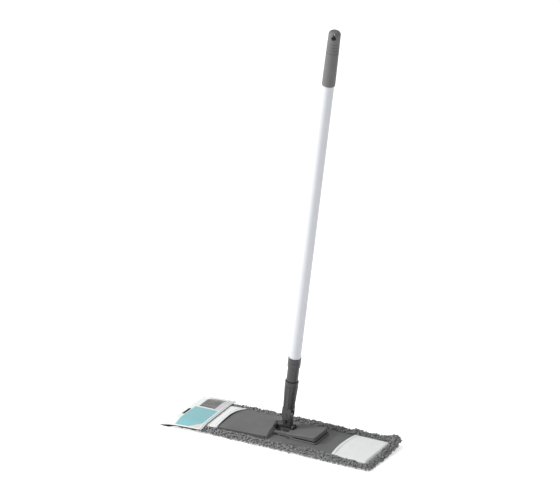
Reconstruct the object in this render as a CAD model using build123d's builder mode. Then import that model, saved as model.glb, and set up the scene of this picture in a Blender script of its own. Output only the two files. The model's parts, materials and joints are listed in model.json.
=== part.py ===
"""Flat mop: a two-wing folding pad frame, a two-way pole joint and a telescopic handle.

Units are millimetres. +X runs along the head, +Y to the back and +Z up. The origin is the
middle of the pad's sole, on the floor.
"""

import os
from math import cos, radians, sin

from build123d import *

# Pad
PAD_LENGTH = 420
PAD_WIDTH = 125
SOLE_HEIGHT = 6.2
FRINGE_WIDTH = 16
FRINGE_HEIGHT = 15
PAD_CORNER = 9
PAD_GAP_LEFT = 10
PAD_GAP_RIGHT = 9
CARD_RELIEF = 1.2
CARD_RELIEF_X = -146
RIGHT_POCKET_START = 122
POCKET_END = 191
POCKET_HALF = 46
POCKET_THICKNESS = 0.8
POCKET_LIFT = 0.1

# Two-wing frame
WING_END = 190
WING_WIDTH = 88
WING_CORNER = 14
WING_BOTTOM = 6.5
WING_TOP = 10.5
RIB_DEPTH = 2
FOLD_X = -13
FOLD_Z = 10
KNUCKLE_RADIUS = 3.5
KNUCKLE_CLEAR = 3.8
FOLD_PIN_RADIUS = 1.75
RUNNING = 0.05
COVER_LEFT = -112
COVER_RIGHT = -11
COVER_SKIN = 2
COVER_SCREWS_NEAR = ((-40, 20), (-40, -20))
COVER_SCREWS_FAR = ((-75, 20), (-75, -20))
SCREW_SHANK_RADIUS = 1.5
SCREW_HEAD_RADIUS = 3
SCREW_RECESS = 1.8

# Pole joint
JOINT_X = 8
YOKE_PIN_Z = 22.5
YOKE_PIN_RADIUS = 2.5
BARREL_RADIUS = 4.5
BARREL_LEFT = -12
BARREL_RIGHT = 17
LUG_GAP = 0.5
LUG_THICKNESS = 4.5
LUG_HALF_WIDTH = 7
LUG_TOP = 27
BASE_TOP = 15
BASE_SCREWS = ((-4, 0), (11, 0))
FORK_PIN_Z = 45.5
FORK_PIN_RADIUS = 2.5
TONGUE_HALF = 6
FORK_HALF = 9.6
FORK_RADIUS = 8.5

# Pedal
PEDAL_START = 18
PEDAL_END = 77
PEDAL_WIDTH = 50
PEDAL_LOW = 19.8
PEDAL_HIGH = 24
PEDAL_SKIRT = 15.5
PEDAL_WALL = 2
PIVOT_X = 2
PIVOT_Z = 14
PIVOT_RADIUS = 1.5
BOSS_RADIUS = 3.2
ARM_INNER = 14
ARM_OUTER = 22
PIN_START = 10.2
WELL_START = 20
WELL_CLEAR = 0.8
WELL_FLOOR = 8.5
RIM_START = 26
RIM_WALL = 1.8
RIM_TOP = 14
SPRING_X = 56
SPRING_RADIUS = 5
SPRING_HEIGHT = 10.4

# Handle, measured along the pole from the fork pin
LEAN = 7
SOCKET_START = 10.8
SOCKET_LOW_RADIUS = 9.6
SOCKET_RADIUS = 12.2
RIDGE_RADIUS = 12.6
RIB_TURNS = (-115, -90, -65, -25, 0, 25, 65, 90, 115, 155, 180, 205)
SOCKET_TOP = 70
RIDGE_START = 60
COLLAR_START = 70.4
COLLAR_RING = 100
COLLAR_SPLIT = 109
COLLAR_RADIUS = 10.8
RING_RADIUS = 12.1
COLLET_RADIUS = 9.9
TURNING = 0.08
SPLIT_GAP = 0.4
FERRULE_TOP = 118
SCREW_AT = 45
SCREW_HEAD_AT = 12.1
SCREW_RADIUS = 1.3
GRIP_START = 678
GRIP_TOP = 788
GRIP_RADIUS = 12.3
GRIP_TOP_RADIUS = 11.3
GROOVE_START = 744
GROOVE_STEP = 6.5
TUBE_RADIUS = 11
TUBE_INNER = 10.4
TUBE_START = 104
TUBE_END = 766
INNER_RADIUS = 9
INNER_WALL = 0.6
INNER_START = 22
INNER_END = 640
HOLE_AT = 776.5
HOLE_RADIUS = 4.2
HOLE_APEX = 8.5
HOLE_SHOULDER = radians(40)
HOLE_TURN = radians(-68)

# Header card
CARD_LEFT = -216
CARD_RIGHT = -134
CARD_HALF_WIDTH = 68
CARD_THICKNESS = 0.6
CARD_BEND_X = -196
CARD_BEND_Z = 12.6
CARD_FOLD_Z = 2.2
CARD_SLOT_X = -195
CARD_SLOT_Y = -15
CARD_SLOT_WIDTH = 5.2
CARD_SLOT_LENGTH = 26

os.makedirs("parts", exist_ok=True)

pin_point = Vector(JOINT_X, 0, FORK_PIN_Z)
lean = radians(LEAN)
pole = Plane(origin=pin_point, x_dir=(cos(lean), 0, -sin(lean)), z_dir=(sin(lean), 0, cos(lean)))
pole_axis = Axis(pin_point, pole.z_dir)
pole_profile = Plane(origin=pin_point, x_dir=pole.x_dir, z_dir=(0, -1, 0))
screw_plane = Plane(origin=pin_point + pole.z_dir * SCREW_AT, z_dir=pole.y_dir)
hole_facing = pole.x_dir * cos(HOLE_TURN) + pole.y_dir * sin(HOLE_TURN)
hole_plane = Plane(origin=pin_point, x_dir=pole.z_dir.cross(hole_facing), z_dir=hole_facing)
side_view = Plane(origin=(0, 0, 0), x_dir=(1, 0, 0), z_dir=(0, -1, 0))
wing_half = WING_WIDTH / 2
barrel_middle = (BARREL_LEFT + BARREL_RIGHT) / 2
barrel_half = (BARREL_RIGHT - BARREL_LEFT) / 2
barrel_plane = Plane(origin=(barrel_middle, 0, YOKE_PIN_Z), z_dir=(1, 0, 0))
lug_left = BARREL_LEFT - LUG_GAP - LUG_THICKNESS
lug_right = BARREL_RIGHT + LUG_GAP + LUG_THICKNESS
cover_screw_spots = COVER_SCREWS_NEAR + COVER_SCREWS_FAR
frame_knuckles = ((0, 27.2), (37.2, 13.6), (-37.2, 13.6))
wing_knuckles = ((22, 15.6), (-22, 15.6))


def knuckle_row(spans, plate_edge):
    """Round hinge knuckles and their webs, added to the current part."""
    for middle, length in spans:
        with BuildSketch(side_view.offset(-middle)) as knuckle:
            with Locations((FOLD_X, FOLD_Z)):
                Circle(KNUCKLE_RADIUS)
            with Locations(((FOLD_X + plate_edge) / 2, (WING_BOTTOM + WING_TOP) / 2)):
                Rectangle(abs(plate_edge - FOLD_X), WING_TOP - WING_BOTTOM)
        extrude(knuckle.sketch, amount=length / 2, both=True)


def rib_pockets(first, last, count):
    """Shallow pockets in the underside of a wing, which leave stiffening ribs between them."""
    step = (last - first) / count
    with BuildSketch(Plane.XY.offset(WING_BOTTOM)) as pockets:
        with Locations(((first + last) / 2, 0)):
            with GridLocations(step, wing_half, count, 2):
                RectangleRounded(step - 3, wing_half - 6, 3)
    extrude(pockets.sketch, amount=RIB_DEPTH, mode=Mode.SUBTRACT)


def screw_holes(spots):
    """Holes through a wing for screws from below, with a recess for each head."""
    with BuildSketch(Plane.XY.offset(WING_BOTTOM)) as shanks:
        with Locations(*spots):
            Circle(SCREW_SHANK_RADIUS)
    extrude(shanks.sketch, amount=WING_TOP - WING_BOTTOM, mode=Mode.SUBTRACT)
    with BuildSketch(Plane.XY.offset(WING_BOTTOM)) as heads:
        with Locations(*spots):
            Circle(SCREW_HEAD_RADIUS)
    extrude(heads.sketch, amount=SCREW_RECESS, mode=Mode.SUBTRACT)


def screws_from_below(spots, length):
    """Pan-headed screws that stand in a wing's recesses."""
    with BuildSketch(Plane.XY.offset(WING_BOTTOM + 0.2)) as heads:
        with Locations(*spots):
            Circle(SCREW_HEAD_RADIUS)
    extrude(heads.sketch, amount=SCREW_RECESS - 0.2)
    with BuildSketch(Plane.XY.offset(WING_BOTTOM + SCREW_RECESS)) as shanks:
        with Locations(*spots):
            Circle(SCREW_SHANK_RADIUS)
    extrude(shanks.sketch, amount=length)


def pin_hole(x, z, radius):
    """A hole along Y through the current part."""
    with BuildSketch(side_view) as bore:
        with Locations((x, z)):
            Circle(radius)
    extrude(bore.sketch, amount=PAD_WIDTH, both=True, mode=Mode.SUBTRACT)


# Right wing: the plate that carries the pole joint and the pedal's well
frame_edge = FOLD_X + KNUCKLE_CLEAR
well_end = PEDAL_END + WELL_CLEAR
well_half = PEDAL_WIDTH / 2 + WELL_CLEAR
with BuildPart() as right_plate:
    with BuildSketch(Plane.XY.offset(WING_BOTTOM)) as right_outline:
        with Locations(((frame_edge + WING_END) / 2, 0)):
            Rectangle(WING_END - frame_edge, WING_WIDTH)
        fillet(right_outline.vertices().group_by(Axis.X)[-1], WING_CORNER)
    extrude(amount=WING_TOP - WING_BOTTOM)
    rib_pockets(86, 182, 4)
    with BuildSketch(Plane.XY.offset(WING_TOP)) as rim_outline:
        with Locations(((RIM_START + well_end) / 2, 0)):
            Rectangle(well_end + 2 * RIM_WALL - RIM_START, 2 * (well_half + RIM_WALL))
        fillet(rim_outline.vertices().group_by(Axis.X)[-1], 5)
    extrude(amount=RIM_TOP - WING_TOP)
    fillet(right_plate.faces().sort_by(Axis.Z)[-1].edges(), 1)
    with BuildSketch(Plane.XY.offset(WELL_FLOOR)):
        with Locations(((WELL_START + well_end) / 2, 0)):
            Rectangle(well_end - WELL_START, 2 * well_half)
    extrude(amount=RIM_TOP, mode=Mode.SUBTRACT)
    with BuildSketch(Plane.XY.offset(WELL_FLOOR)):
        with Locations(((WELL_START + lug_right + 1) / 2, 0)):
            Rectangle(lug_right + 1 - WELL_START, 2 * LUG_HALF_WIDTH)
    extrude(amount=WING_TOP - WELL_FLOOR)
    for side in (-1, 1):
        with BuildSketch(side_view.offset(side * 11.8)):
            with Locations((PIVOT_X, PIVOT_Z)):
                Circle(BOSS_RADIUS)
            with Locations((PIVOT_X, (WING_TOP + PIVOT_Z) / 2)):
                Rectangle(2 * BOSS_RADIUS, PIVOT_Z - WING_TOP)
        extrude(amount=1.8, both=True)
    knuckle_row(frame_knuckles, frame_edge)
    pin_hole(FOLD_X, FOLD_Z, FOLD_PIN_RADIUS)
    pin_hole(PIVOT_X, PIVOT_Z, PIVOT_RADIUS)
    screw_holes(BASE_SCREWS)
right_plate.part.label = "right_plate"
export_step(right_plate.part, "parts/right_plate.step")

# Left wing plate, which folds down about the fold pin
wing_edge = FOLD_X - KNUCKLE_CLEAR
with BuildPart() as left_plate:
    with BuildSketch(Plane.XY.offset(WING_BOTTOM)) as left_outline:
        with Locations(((wing_edge - WING_END) / 2, 0)):
            Rectangle(wing_edge + WING_END, WING_WIDTH)
        fillet(left_outline.vertices().group_by(Axis.X)[0], WING_CORNER)
    extrude(amount=WING_TOP - WING_BOTTOM)
    rib_pockets(-182, -86, 4)
    knuckle_row(wing_knuckles, wing_edge)
    pin_hole(FOLD_X, FOLD_Z, FOLD_PIN_RADIUS + RUNNING)
    screw_holes(cover_screw_spots)
left_plate.part.label = "left_plate"
export_step(left_plate.part, "parts/left_plate.step")

# Left cover: a shell that rises from the pocket's mouth to a domed end beside the pole joint
def dome_section(x, edge, crown, inset):
    """A flat-bottomed arched section across the head at x."""
    half = wing_half - inset
    with BuildSketch(Plane(origin=(x, 0, 0), x_dir=(0, 1, 0), z_dir=(1, 0, 0))) as section:
        with BuildLine():
            Polyline((-half, edge), (-half, WING_TOP), (half, WING_TOP), (half, edge))
            ThreePointArc((half, edge), (0, crown), (-half, edge))
        make_face()
    return section.sketch


outside = [
    dome_section(COVER_LEFT, WING_TOP + 0.8, WING_TOP + 3, 0),
    dome_section(COVER_RIGHT, 15.3, 21.6, 0),
]
inside = [
    dome_section(COVER_LEFT + 8, WING_TOP + 0.1, WING_TOP + 1.3, COVER_SKIN),
    dome_section(COVER_RIGHT - 10, 12.8, 18.9, COVER_SKIN),
]
with BuildPart() as left_cover:
    loft(outside)
    for long_side in (0, -1):
        side_edges = left_cover.edges().group_by(Axis.Y)[long_side].filter_by(Axis.Z, reverse=True)
        fillet(side_edges.sort_by(Axis.Z)[-1], 0.7)
    loft(inside, mode=Mode.SUBTRACT)
    with BuildSketch(Plane.XY.offset(WING_TOP)):
        with Locations(*COVER_SCREWS_NEAR):
            Circle(3.5)
    extrude(amount=6.9)
    with BuildSketch(Plane.XY.offset(WING_TOP)):
        with Locations(*COVER_SCREWS_FAR):
            Circle(3.5)
    extrude(amount=3.6)
    with BuildSketch(side_view):
        with BuildLine():
            Polyline((-18.5, 23), (COVER_RIGHT, 14), (wing_edge - 0.1, 14), (wing_edge - 0.1, 9))
            Polyline((wing_edge - 0.1, 9), (0, 9), (0, 23), (-18.5, 23))
        make_face()
    extrude(amount=PAD_WIDTH, both=True, mode=Mode.SUBTRACT)
    with BuildSketch(Plane.XY.offset(WING_TOP)):
        with Locations((FOLD_X, 0)):
            Rectangle(11, 2 * LUG_HALF_WIDTH + 3)
    extrude(amount=15, mode=Mode.SUBTRACT)
    with BuildSketch(Plane.XY.offset(WING_TOP)):
        with Locations(*cover_screw_spots):
            Circle(SCREW_SHANK_RADIUS)
    extrude(amount=2.5, mode=Mode.SUBTRACT)
left_cover.part.label = "left_cover"
export_step(left_cover.part, "parts/left_cover.step")

# Screws that hold the left cover from below
with BuildPart() as cover_screws:
    screws_from_below(cover_screw_spots, 4.7)
cover_screws.part.label = "cover_screws"
export_step(cover_screws.part, "parts/cover_screws.step")

# Fold pin
with BuildPart() as fold_pin:
    with BuildSketch(side_view):
        with Locations((FOLD_X, FOLD_Z)):
            Circle(FOLD_PIN_RADIUS)
    extrude(amount=wing_half, both=True)
    chamfer(fold_pin.edges().filter_by(GeomType.CIRCLE), 0.4)
fold_pin.part.label = "fold_pin"
export_step(fold_pin.part, "parts/fold_pin.step")

# Joint base: the two lugs that hold the yoke's barrel
with BuildPart() as joint_base:
    with BuildSketch(side_view):
        with BuildLine():
            Polyline(
                (frame_edge + 0.2, WING_TOP),
                (lug_right, WING_TOP),
                (lug_right, LUG_TOP),
                (BARREL_RIGHT + LUG_GAP, LUG_TOP),
                (BARREL_RIGHT + LUG_GAP, BASE_TOP),
                (BARREL_LEFT - LUG_GAP, BASE_TOP),
                (BARREL_LEFT - LUG_GAP, LUG_TOP),
                (lug_left, LUG_TOP),
                (lug_left, FOLD_Z + KNUCKLE_RADIUS + 0.2),
                (frame_edge + 0.2, FOLD_Z + KNUCKLE_RADIUS + 0.2),
                close=True,
            )
        make_face()
    extrude(amount=LUG_HALF_WIDTH, both=True)
    fillet(joint_base.edges().filter_by(Axis.X).group_by(Axis.Z)[-1], 5)
    with BuildSketch(barrel_plane):
        Circle(YOKE_PIN_RADIUS)
    extrude(amount=2 * barrel_half, both=True, mode=Mode.SUBTRACT)
    with BuildSketch(Plane.XY.offset(WING_TOP)):
        with Locations(*BASE_SCREWS):
            Circle(SCREW_SHANK_RADIUS)
    extrude(amount=3, mode=Mode.SUBTRACT)
joint_base.part.label = "joint_base"
export_step(joint_base.part, "parts/joint_base.step")

# Screws that hold the joint base from below
with BuildPart() as base_screws:
    screws_from_below(BASE_SCREWS, 5)
base_screws.part.label = "base_screws"
export_step(base_screws.part, "parts/base_screws.step")

# Pedal: a hollow foot lever with two arms that pass each side of the yoke
with BuildPart() as pedal:
    with BuildSketch(side_view):
        with BuildLine():
            Polyline(
                (PEDAL_START, 12.6),
                (30, 13.6),
                (34, PEDAL_SKIRT),
                (PEDAL_END, PEDAL_SKIRT),
                (PEDAL_END, PEDAL_HIGH),
                (PEDAL_START, PEDAL_LOW),
                close=True,
            )
        make_face()
    extrude(amount=PEDAL_WIDTH / 2, both=True)
    fillet(pedal.edges().filter_by(Axis.Z).group_by(Axis.X)[-1], 4)
    fillet(pedal.faces().sort_by(Axis.Z)[-1].edges(), 1.4)
    with BuildSketch(side_view):
        with BuildLine():
            Polyline(
                (PEDAL_START + PEDAL_WALL, 10),
                (PEDAL_END - PEDAL_WALL, 10),
                (PEDAL_END - PEDAL_WALL, PEDAL_HIGH - 2.4),
                (PEDAL_START + PEDAL_WALL, PEDAL_LOW - 2.2),
                close=True,
            )
        make_face()
    extrude(amount=PEDAL_WIDTH / 2 - PEDAL_WALL, both=True, mode=Mode.SUBTRACT)
    for side in (-1, 1):
        with BuildSketch(side_view.offset(side * (ARM_INNER + ARM_OUTER) / 2)):
            with BuildLine():
                Polyline(
                    (PIVOT_X, PIVOT_Z - 2),
                    (PEDAL_START + PEDAL_WALL, 12.6),
                    (PEDAL_START + PEDAL_WALL, 18.5),
                    (PEDAL_START - 2, 17.6),
                    (PIVOT_X, PIVOT_Z + 2.4),
                    close=True,
                )
            make_face()
            with Locations((PIVOT_X, PIVOT_Z)):
                Circle(BOSS_RADIUS)
            with Locations((PIVOT_X - 6, PIVOT_Z + 1)):
                Rectangle(10, 2.4)
        extrude(amount=(ARM_OUTER - ARM_INNER) / 2, both=True)
    with BuildSketch(Plane.XY.offset(WELL_FLOOR)):
        with Locations(((PEDAL_START - 1 + lug_right + 2) / 2, 0)):
            Rectangle(lug_right + 2 - PEDAL_START + 1, 2 * LUG_HALF_WIDTH + 3)
    extrude(amount=LUG_TOP - WELL_FLOOR, mode=Mode.SUBTRACT)
    pin_hole(PIVOT_X, PIVOT_Z, PIVOT_RADIUS + RUNNING)
pedal.part.label = "pedal"
export_step(pedal.part, "parts/pedal.step")

# Pedal pins
with BuildPart() as pedal_pins:
    for side in (-1, 1):
        with BuildSketch(side_view.offset(side * PIN_START)):
            with Locations((PIVOT_X, PIVOT_Z)):
                Circle(PIVOT_RADIUS)
        extrude(amount=side * (ARM_OUTER - PIN_START))
pedal_pins.part.label = "pedal_pins"
export_step(pedal_pins.part, "parts/pedal_pins.step")

# Pedal spring: a coil between the well's floor and the pedal's roof
spring_bottom = WELL_FLOOR + 0.6
with BuildPart() as pedal_spring:
    with BuildLine(Plane(origin=(SPRING_X, 0, spring_bottom))) as coil:
        Helix(pitch=SPRING_HEIGHT / 4, height=SPRING_HEIGHT, radius=SPRING_RADIUS)
    with BuildSketch(Plane(origin=coil.line @ 0, z_dir=coil.line % 0)):
        Circle(0.5)
    sweep(is_frenet=True)
pedal_spring.part.label = "pedal_spring"
export_step(pedal_spring.part, "parts/pedal_spring.step")

# Yoke: the barrel that tilts fore and aft, with an upright tongue for the fork
with BuildPart() as yoke:
    with BuildSketch(barrel_plane):
        Circle(BARREL_RADIUS)
    extrude(amount=barrel_half, both=True)
    with BuildSketch(side_view):
        with Locations((JOINT_X, (YOKE_PIN_Z + FORK_PIN_Z) / 2)):
            Rectangle(15, FORK_PIN_Z - YOKE_PIN_Z)
        with Locations((JOINT_X, FORK_PIN_Z)):
            Circle(7.8)
        with Locations((JOINT_X, YOKE_PIN_Z + 10)):
            SlotOverall(8.5, 4.6, rotation=90, mode=Mode.SUBTRACT)
    extrude(amount=TONGUE_HALF, both=True)
    with BuildSketch(barrel_plane):
        Circle(YOKE_PIN_RADIUS + RUNNING)
    extrude(amount=2 * barrel_half, both=True, mode=Mode.SUBTRACT)
    pin_hole(JOINT_X, FORK_PIN_Z, FORK_PIN_RADIUS + RUNNING)
yoke.part.label = "yoke"
export_step(yoke.part, "parts/yoke.step")

# Yoke pin, fixed in the lugs
with BuildPart() as yoke_pin:
    with BuildSketch(barrel_plane):
        Circle(YOKE_PIN_RADIUS)
    extrude(amount=barrel_half + LUG_GAP + LUG_THICKNESS, both=True)
yoke_pin.part.label = "yoke_pin"
export_step(yoke_pin.part, "parts/yoke_pin.step")

# Socket: a tapered sleeve with a two-eared fork at its foot
with BuildPart() as socket:
    with BuildSketch(pole_profile):
        with BuildLine():
            Polyline(
                (0, SOCKET_START),
                (SOCKET_LOW_RADIUS, SOCKET_START),
                (SOCKET_RADIUS, RIDGE_START),
                (RIDGE_RADIUS, RIDGE_START + 1),
                (RIDGE_RADIUS, SOCKET_TOP - 1),
                (SOCKET_RADIUS, SOCKET_TOP),
                (0, SOCKET_TOP),
                close=True,
            )
        make_face()
    revolve(axis=pole_axis)
    for side in (-1, 1):
        with BuildSketch(pole_profile.offset(side * (FORK_HALF + TONGUE_HALF + 0.4) / 2)):
            Circle(FORK_RADIUS)
            with BuildLine():
                Polyline((-FORK_RADIUS, 0), (FORK_RADIUS, 0), (8, 16), (-8, 16), close=True)
            make_face()
        extrude(amount=(FORK_HALF - TONGUE_HALF - 0.4) / 2, both=True)
    for turn in RIB_TURNS:
        spoke = pole.x_dir * cos(radians(turn)) + pole.y_dir * sin(radians(turn))
        rib_half = 3.2 if turn in (-90, 90) else 0.7
        with BuildSketch(Plane(origin=pin_point, x_dir=spoke, z_dir=spoke.cross(pole.z_dir))):
            with BuildLine():
                Polyline((7, 14), (10.3, 14), (RIDGE_RADIUS, RIDGE_START), (7, RIDGE_START), close=True)
            make_face()
        extrude(amount=rib_half, both=True)
    with BuildSketch(pole.offset(INNER_START)):
        Circle(INNER_RADIUS)
    extrude(amount=SOCKET_TOP, mode=Mode.SUBTRACT)
    with BuildSketch(pole_profile):
        Circle(FORK_PIN_RADIUS)
    extrude(amount=PAD_WIDTH, both=True, mode=Mode.SUBTRACT)
    with BuildSketch(screw_plane):
        Circle(SCREW_RADIUS)
    extrude(amount=20, mode=Mode.SUBTRACT)
socket.part.label = "socket"
export_step(socket.part, "parts/socket.step")

# Fork pin with a flat head at each end
with BuildPart() as fork_pin:
    with BuildSketch(pole_profile):
        Circle(FORK_PIN_RADIUS)
    extrude(amount=FORK_HALF, both=True)
    for side in (-1, 1):
        with BuildSketch(pole_profile.offset(side * FORK_HALF)):
            Circle(3.9)
        extrude(amount=side * 1)
fork_pin.part.label = "fork_pin"
export_step(fork_pin.part, "parts/fork_pin.step")

# Inner tube of the telescopic handle
with BuildPart() as inner_tube:
    with BuildSketch(pole.offset(INNER_START)):
        Circle(INNER_RADIUS)
        Circle(INNER_RADIUS - INNER_WALL, mode=Mode.SUBTRACT)
    extrude(amount=INNER_END - INNER_START)
    with BuildSketch(screw_plane):
        Circle(SCREW_RADIUS)
    extrude(amount=20, mode=Mode.SUBTRACT)
inner_tube.part.label = "inner_tube"
export_step(inner_tube.part, "parts/inner_tube.step")

# Screw that holds the inner tube in the socket
with BuildPart() as socket_screw:
    with BuildSketch(screw_plane.offset(7)):
        Circle(SCREW_RADIUS)
    extrude(amount=SCREW_HEAD_AT - 7)
    with BuildSketch(screw_plane.offset(SCREW_HEAD_AT)):
        Circle(2.4)
    extrude(amount=1)
    fillet(socket_screw.faces().sort_by(Axis.Y)[-1].edges(), 0.4)
socket_screw.part.label = "socket_screw"
export_step(socket_screw.part, "parts/socket_screw.step")

# Guide bush at the inner tube's top, which runs in the outer tube
with BuildPart() as guide_bush:
    with BuildSketch(pole.offset(INNER_END - 16)):
        Circle(INNER_RADIUS - INNER_WALL)
    extrude(amount=16)
    with BuildSketch(pole.offset(INNER_END)):
        Circle(TUBE_INNER - RUNNING)
    extrude(amount=8)
    with BuildSketch(pole.offset(INNER_END - 16)):
        Circle(6)
    extrude(amount=24, mode=Mode.SUBTRACT)
guide_bush.part.label = "guide_bush"
export_step(guide_bush.part, "parts/guide_bush.step")

# Outer tube
with BuildPart() as outer_tube:
    with BuildSketch(pole.offset(TUBE_START)):
        Circle(TUBE_RADIUS)
        Circle(TUBE_INNER, mode=Mode.SUBTRACT)
    extrude(amount=TUBE_END - TUBE_START)
outer_tube.part.label = "outer_tube"
export_step(outer_tube.part, "parts/outer_tube.step")

# Tube ferrule: the fixed ring at the outer tube's lower end
with BuildPart() as tube_ferrule:
    with BuildSketch(pole.offset(COLLAR_SPLIT + SPLIT_GAP)):
        Circle(RING_RADIUS)
        Circle(TUBE_RADIUS, mode=Mode.SUBTRACT)
    extrude(amount=FERRULE_TOP - COLLAR_SPLIT - SPLIT_GAP)
tube_ferrule.part.label = "tube_ferrule"
export_step(tube_ferrule.part, "parts/tube_ferrule.step")

# Collet: a slit sleeve that the lock collar squeezes onto the inner tube
with BuildPart() as collet:
    with BuildSketch(pole.offset(COLLAR_START + 6)):
        Circle(COLLET_RADIUS)
    extrude(amount=TUBE_START - COLLAR_START - 6)
    with BuildSketch(pole.offset(TUBE_START)):
        Circle(TUBE_INNER)
    extrude(amount=14)
    with BuildSketch(pole.offset(COLLAR_START)):
        Circle(INNER_RADIUS + RUNNING)
    extrude(amount=60, mode=Mode.SUBTRACT)
    with BuildSketch(pole.offset(COLLAR_START)):
        Rectangle(24, 1.2)
        Rectangle(1.2, 24)
    extrude(amount=26, mode=Mode.SUBTRACT)
collet.part.label = "collet"
export_step(collet.part, "parts/collet.step")

# Lock collar, which turns about the pole to clamp the collet
with BuildPart() as lock_collar:
    with BuildSketch(pole_profile):
        with BuildLine():
            Polyline(
                (COLLET_RADIUS + TURNING, COLLAR_START),
                (COLLAR_RADIUS - 0.4, COLLAR_START),
                (COLLAR_RADIUS, COLLAR_START + 1),
                (COLLAR_RADIUS, COLLAR_RING - 1),
                (RING_RADIUS, COLLAR_RING),
                (RING_RADIUS, COLLAR_SPLIT),
                (TUBE_RADIUS + TURNING, COLLAR_SPLIT),
                (TUBE_RADIUS + TURNING, TUBE_START - 0.3),
                (COLLET_RADIUS + TURNING, TUBE_START - 0.3),
                close=True,
            )
        make_face()
    revolve(axis=pole_axis)
lock_collar.part.label = "lock_collar"
export_step(lock_collar.part, "parts/lock_collar.step")

# Grip with ring grooves and a teardrop hanging hole
with BuildPart() as grip:
    with BuildSketch(pole_profile):
        with BuildLine():
            Polyline(
                (0, GRIP_START),
                (GRIP_RADIUS, GRIP_START),
                (GRIP_RADIUS - 0.1, GRIP_START + 20),
                (GRIP_RADIUS - 0.5, GRIP_START + 60),
                (GRIP_TOP_RADIUS, GRIP_TOP - 8),
            )
            TangentArc((GRIP_TOP_RADIUS, GRIP_TOP - 8), (5, GRIP_TOP - 0.6), tangent=(0, 1))
            Polyline((5, GRIP_TOP - 0.6), (0, GRIP_TOP), (0, GRIP_START))
        make_face()
    revolve(axis=pole_axis)
    for groove in range(4):
        with BuildSketch(pole.offset(GROOVE_START + GROOVE_STEP * groove)):
            Circle(GRIP_RADIUS + 2)
            Circle(TUBE_RADIUS + 0.2, mode=Mode.SUBTRACT)
        extrude(amount=1.6, mode=Mode.SUBTRACT)
    with BuildSketch(pole.offset(GRIP_START)):
        Circle(TUBE_RADIUS)
    extrude(amount=TUBE_END - GRIP_START, mode=Mode.SUBTRACT)
    touch_height = HOLE_RADIUS * cos(HOLE_SHOULDER)
    touch_half = HOLE_RADIUS * sin(HOLE_SHOULDER)
    with BuildSketch(hole_plane):
        with Locations((0, HOLE_AT)):
            Circle(HOLE_RADIUS)
            with BuildLine():
                Polyline(
                    (-touch_half, HOLE_AT + touch_height),
                    (touch_half, HOLE_AT + touch_height),
                    (0, HOLE_AT + HOLE_APEX),
                    close=True,
                )
            make_face()
    extrude(amount=20, both=True, mode=Mode.SUBTRACT)
grip.part.label = "grip"
export_step(grip.part, "parts/grip.step")

# Plug in the outer tube's top, under the grip
with BuildPart() as tube_plug:
    with BuildSketch(pole.offset(TUBE_END - 14)):
        Circle(TUBE_INNER)
        Circle(TUBE_INNER - 2, mode=Mode.SUBTRACT)
    extrude(amount=14)
    with BuildSketch(pole.offset(TUBE_END - 2)):
        Circle(TUBE_INNER)
    extrude(amount=2)
tube_plug.part.label = "tube_plug"
export_step(tube_plug.part, "parts/tube_plug.step")

# Pad halves: the sole under each wing and the border of loops around it
pad_left_edge = FOLD_X - PAD_GAP_LEFT
pad_right_edge = FOLD_X + PAD_GAP_RIGHT
pad_half = PAD_WIDTH / 2


def pad_outline(inner_x, outer_x, inset):
    """Half of the pad's outline, from the fold gap to its rounded outer end."""
    end = outer_x - inset if outer_x > 0 else outer_x + inset
    with Locations(((inner_x + end) / 2, 0)):
        Rectangle(abs(end - inner_x), PAD_WIDTH - 2 * inset)


def card_relief():
    """Space under the pad's left end for the header card's lower panel."""
    with BuildSketch() as relief:
        with Locations(((CARD_RELIEF_X - PAD_LENGTH / 2) / 2, 0)):
            Rectangle(CARD_RELIEF_X + PAD_LENGTH / 2, PAD_WIDTH)
    extrude(relief.sketch, amount=CARD_RELIEF, mode=Mode.SUBTRACT)


with BuildPart() as pad_right:
    with BuildSketch():
        pad_outline(pad_right_edge, PAD_LENGTH / 2, FRINGE_WIDTH)
    extrude(amount=SOLE_HEIGHT)
pad_right.part.label = "pad_right"
export_step(pad_right.part, "parts/pad_right.step")

with BuildPart() as fringe_right:
    with BuildSketch() as fringe_right_outline:
        pad_outline(pad_right_edge, PAD_LENGTH / 2, 0)
        fillet(fringe_right_outline.vertices().group_by(Axis.X)[-1], PAD_CORNER)
        with Locations(((pad_right_edge + PAD_LENGTH / 2 - FRINGE_WIDTH) / 2, 0)):
            Rectangle(
                PAD_LENGTH / 2 - FRINGE_WIDTH - pad_right_edge,
                PAD_WIDTH - 2 * FRINGE_WIDTH,
                mode=Mode.SUBTRACT,
            )
    extrude(amount=FRINGE_HEIGHT)
fringe_right.part.label = "fringe_right"
export_step(fringe_right.part, "parts/fringe_right.step")

with BuildPart() as pad_left:
    with BuildSketch():
        pad_outline(pad_left_edge, -PAD_LENGTH / 2, FRINGE_WIDTH)
    extrude(amount=SOLE_HEIGHT)
    card_relief()
pad_left.part.label = "pad_left"
export_step(pad_left.part, "parts/pad_left.step")

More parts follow.
